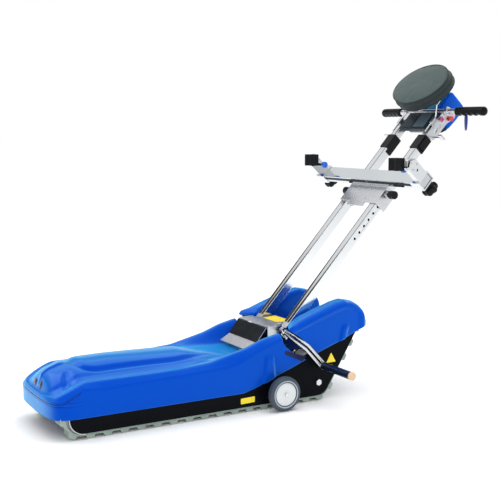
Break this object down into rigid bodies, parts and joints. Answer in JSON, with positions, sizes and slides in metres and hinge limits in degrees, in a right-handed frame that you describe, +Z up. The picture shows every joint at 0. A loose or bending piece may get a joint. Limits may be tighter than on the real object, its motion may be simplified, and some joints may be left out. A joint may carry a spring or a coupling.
{
  "type": "tracked stair climber for wheelchairs",
  "caption": "Battery-driven tracked stair climber: rubber-track base with transport wheels and a tilting mast with crossbar, padded arms, handlebar and headrest that carries a wheelchair.",
  "frame": {"origin": "on the floor, under the middle of the object's box", "axes": "+X towards the pedal side, +Y towards the operator's end, +Z up"},
  "size_m": [0.699, 1.698, 1.1908],
  "materials": {
    "blue_plastic": "gloss moulded",
    "dark_blue_plastic": "satin",
    "black_steel": "satin black powder coat",
    "track_rubber": "matt",
    "guide_plastic": "satin",
    "steel": "machined",
    "cast_wheel": "cast",
    "motor_black": "satin",
    "gearbox_alloy": "cast",
    "battery_black": "matt",
    "board_green": "solder mask",
    "tyre_blue_grey": "matt",
    "wheel_white": "gloss",
    "polished_tube": "polished",
    "alloy_sheet": "anodised",
    "dark_grey_metal": "satin",
    "black_plastic": "satin",
    "sleeve_navy": "matt",
    "cap_beige": "satin",
    "pad_rubber": "matt",
    "box_grey": "satin",
    "grip_rubber": "satin",
    "button_red": "gloss",
    "rocker_magenta": "gloss",
    "strap_blue": "woven",
    "pad_fabric": "woven"
  },
  "bodies": {
    "root": {"chassis_floor": "black_steel", "cheek_plates": "black_steel", "rear_panel": "dark_blue_plastic", "side_plates": "black_steel", "front_cover": "blue_plastic", "rear_cover_right": "blue_plastic", "rear_cover_left": "blue_plastic", "recess_deck": "dark_blue_plastic", "track_belt_right": "track_rubber", "track_belt_left": "track_rubber", "track_guides": "guide_plastic", "chassis_pins": "steel", "drive_motor": "motor_black", "gearbox": "gearbox_alloy", "battery_pack": "battery_black", "control_board": "board_green", "ramp_plate": "alloy_sheet", "foot_plate": "alloy_sheet", "mast_bracket": "dark_grey_metal", "mast_pin": "steel"},
    "drive": {"drive_axle": "steel", "drive_sprockets": "cast_wheel"},
    "front_wheels": {"front_idlers": "cast_wheel"},
    "upper_wheels": {"upper_idlers": "cast_wheel"},
    "rollers": {"press_rollers": "guide_plastic"},
    "wheel_frame": {"swing_frame": "steel"},
    "wheel_right": {"tyre_right": "tyre_blue_grey", "hub_right": "wheel_white"},
    "wheel_left": {"tyre_left": "tyre_blue_grey", "hub_left": "wheel_white"},
    "pedal": {"pedal_shaft": "steel", "tilt_pawl": "steel", "pedal_arm": "polished_tube", "pedal_sleeve": "sleeve_navy", "pedal_end_cap": "cap_beige"},
    "mast": {"rail_right": "polished_tube", "rail_left": "polished_tube", "rail_foot": "dark_grey_metal", "rail_clamps": "black_plastic"},
    "carriage": {"carriage": "alloy_sheet", "crossbar": "polished_tube"},
    "knob_right": {"carriage_knob_right": "black_plastic"},
    "knob_left": {"carriage_knob_left": "black_plastic"},
    "arm_right": {"arm_right": "polished_tube"},
    "arm_left": {"arm_left": "polished_tube"},
    "star_right": {"star_knob_right": "black_plastic"},
    "star_left": {"star_knob_left": "black_plastic"},
    "pad_right": {"arm_pad_right": "pad_rubber"},
    "pad_left": {"arm_pad_left": "pad_rubber"},
    "plunger_right": {"plunger_right": "blue_plastic"},
    "plunger_left": {"plunger_left": "blue_plastic"},
    "head": {"upper_tubes": "polished_tube", "head_plates": "alloy_sheet", "thumb_screws": "steel", "control_box": "box_grey", "control_housing": "blue_plastic", "handlebar": "steel", "grips": "grip_rubber", "wrist_strap": "strap_blue"},
    "stop_button": {"stop_button": "button_red"},
    "rocker": {"drive_rocker": "rocker_magenta"},
    "headrest": {"headrest_frame": "steel", "headrest_pad": "pad_fabric"}
  },
  "joints": [
    {"name": "drive_spin", "type": "hinge", "parent": "root", "child": "drive", "pos_m": [-0.0195, 0.11204, 0.068], "axis": [1, 0, 0], "continuous": true},
    {"name": "front_wheel_spin", "type": "hinge", "parent": "root", "child": "front_wheels", "pos_m": [-0.0195, -0.75196, 0.068], "axis": [1, 0, 0], "continuous": true},
    {"name": "upper_wheel_spin", "type": "hinge", "parent": "root", "child": "upper_wheels", "pos_m": [-0.0195, 0.24704, 0.255], "axis": [1, 0, 0], "continuous": true},
    {"name": "roller_spin", "type": "hinge", "parent": "root", "child": "rollers", "pos_m": [-0.0195, 0.07304, 0.158], "axis": [1, 0, 0], "continuous": true},
    {"name": "wheel_frame_lift", "type": "hinge", "parent": "root", "child": "wheel_frame", "pos_m": [-0.0195, 0.04304, 0.098], "axis": [1, 0, 0], "range_deg": [-12, 0]},
    {"name": "wheel_spin_right", "type": "hinge", "parent": "wheel_frame", "child": "wheel_right", "pos_m": [0.2025, -0.05396, 0.06], "axis": [1, 0, 0], "continuous": true},
    {"name": "wheel_spin_left", "type": "hinge", "parent": "wheel_frame", "child": "wheel_left", "pos_m": [-0.2415, -0.05396, 0.06], "axis": [1, 0, 0], "continuous": true},
    {"name": "pedal_press", "type": "hinge", "parent": "root", "child": "pedal", "pos_m": [-0.0195, 0.00204, 0.254], "axis": [1, 0, 0], "range_deg": [-8, 0], "stiffness_Nm_per_rad": 15, "springref_deg": 17.19},
    {"name": "mast_tilt", "type": "hinge", "parent": "root", "child": "mast", "pos_m": [-0.0195, 0.02656, 0.23767], "axis": [1, 0, 0], "range_deg": [-8, 40]},
    {"name": "carriage_slide", "type": "slide", "parent": "mast", "child": "carriage", "axis": [0, 0.6756, 0.7373], "range_m": [-0.15, 0]},
    {"name": "handle_extension", "type": "slide", "parent": "mast", "child": "head", "axis": [0, 0.6756, 0.7373], "range_m": [0, 0.15]},
    {"name": "knob_pull_right", "type": "slide", "parent": "carriage", "child": "knob_right", "axis": [1, 0, 0], "range_m": [0, 0.008], "stiffness_N_per_m": 400, "springref_m": -0.003},
    {"name": "knob_pull_left", "type": "slide", "parent": "carriage", "child": "knob_left", "axis": [-1, 0, 0], "range_m": [0, 0.008], "stiffness_N_per_m": 400, "springref_m": -0.003},
    {"name": "arm_slide_right", "type": "slide", "parent": "carriage", "child": "arm_right", "axis": [-1, 0, 0], "range_m": [0, 0.06]},
    {"name": "arm_slide_left", "type": "slide", "parent": "carriage", "child": "arm_left", "axis": [1, 0, 0], "range_m": [0, 0.06]},
    {"name": "star_turn_right", "type": "hinge", "parent": "arm_right", "child": "star_right", "pos_m": [0.2805, 0.49383, 0.73724], "axis": [0, 0.7373, -0.6756], "continuous": true},
    {"name": "star_turn_left", "type": "hinge", "parent": "arm_left", "child": "star_left", "pos_m": [-0.3195, 0.49383, 0.73724], "axis": [0, 0.7373, -0.6756], "continuous": true},
    {"name": "pad_swivel_right", "type": "hinge", "parent": "arm_right", "child": "pad_right", "pos_m": [0.2445, 0.39946, 0.82372], "axis": [1, 0, 0], "range_deg": [-15, 15]},
    {"name": "pad_swivel_left", "type": "hinge", "parent": "arm_left", "child": "pad_left", "pos_m": [-0.2835, 0.39946, 0.82372], "axis": [1, 0, 0], "range_deg": [-15, 15]},
    {"name": "plunger_pull_right", "type": "slide", "parent": "arm_right", "child": "plunger_right", "axis": [-1, 0, 0], "range_m": [0, 0.01], "stiffness_N_per_m": 300, "springref_m": -0.003},
    {"name": "plunger_pull_left", "type": "slide", "parent": "arm_left", "child": "plunger_left", "axis": [1, 0, 0], "range_m": [0, 0.01], "stiffness_N_per_m": 300, "springref_m": -0.003},
    {"name": "stop_button_press", "type": "slide", "parent": "head", "child": "stop_button", "axis": [-1, 0, 0], "range_m": [0, 0.004], "stiffness_N_per_m": 500, "springref_m": -0.002},
    {"name": "rocker_tilt", "type": "hinge", "parent": "head", "child": "rocker", "pos_m": [0.0921, 0.70265, 0.97993], "axis": [0, 0.6756, 0.7373], "range_deg": [-5, 5], "stiffness_Nm_per_rad": 0.5},
    {"name": "headrest_slide", "type": "slide", "parent": "head", "child": "headrest", "axis": [0, 0.6756, 0.7373], "range_m": [0, 0.03]}
  ],
  "couplings": [
    {"joint": "front_wheel_spin", "follows": "drive_spin", "ratio": 1},
    {"joint": "upper_wheel_spin", "follows": "drive_spin", "ratio": 1.5625},
    {"joint": "roller_spin", "follows": "drive_spin", "ratio": -3.0909}
  ]
}
